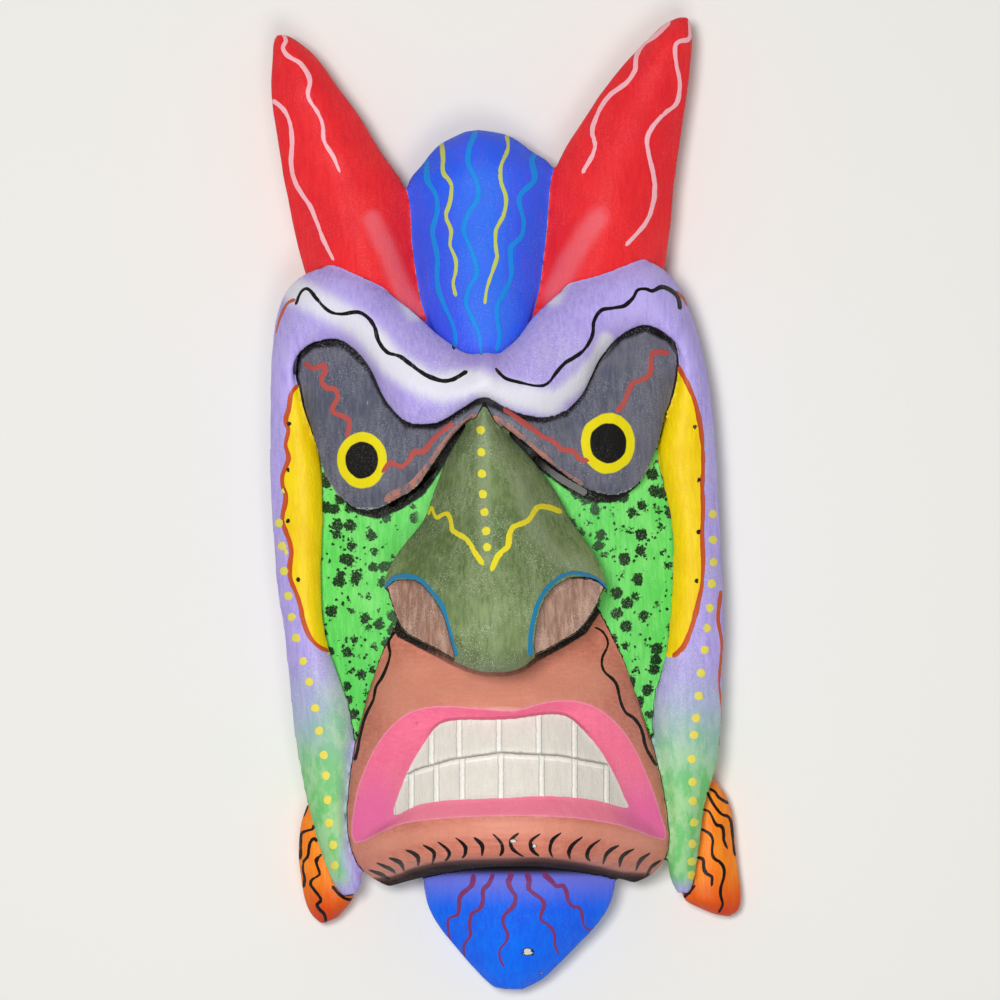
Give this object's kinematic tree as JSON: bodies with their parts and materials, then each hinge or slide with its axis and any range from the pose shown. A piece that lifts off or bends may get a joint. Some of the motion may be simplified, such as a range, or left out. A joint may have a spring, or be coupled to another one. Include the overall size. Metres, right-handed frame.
{
  "type": "devil mask",
  "caption": "Carved and painted wooden devil mask with horns, a crest, hooded lids, a broad nose, bared teeth, ears and a pointed beard, hollow behind.",
  "frame": {"origin": "middle of the bounding box, on the plane of the flat rim that the mask lies on", "axes": "+Z out of the face, +Y from the chin to the horns, +X to the viewer's right"},
  "size_m": [0.1804, 0.382, 0.1114],
  "materials": {
    "painted_wood": "brush-painted satin acrylic, bare wood inside"
  },
  "bodies": {
    "root": {"mask": "painted_wood"}
  },
  "joints": []
}
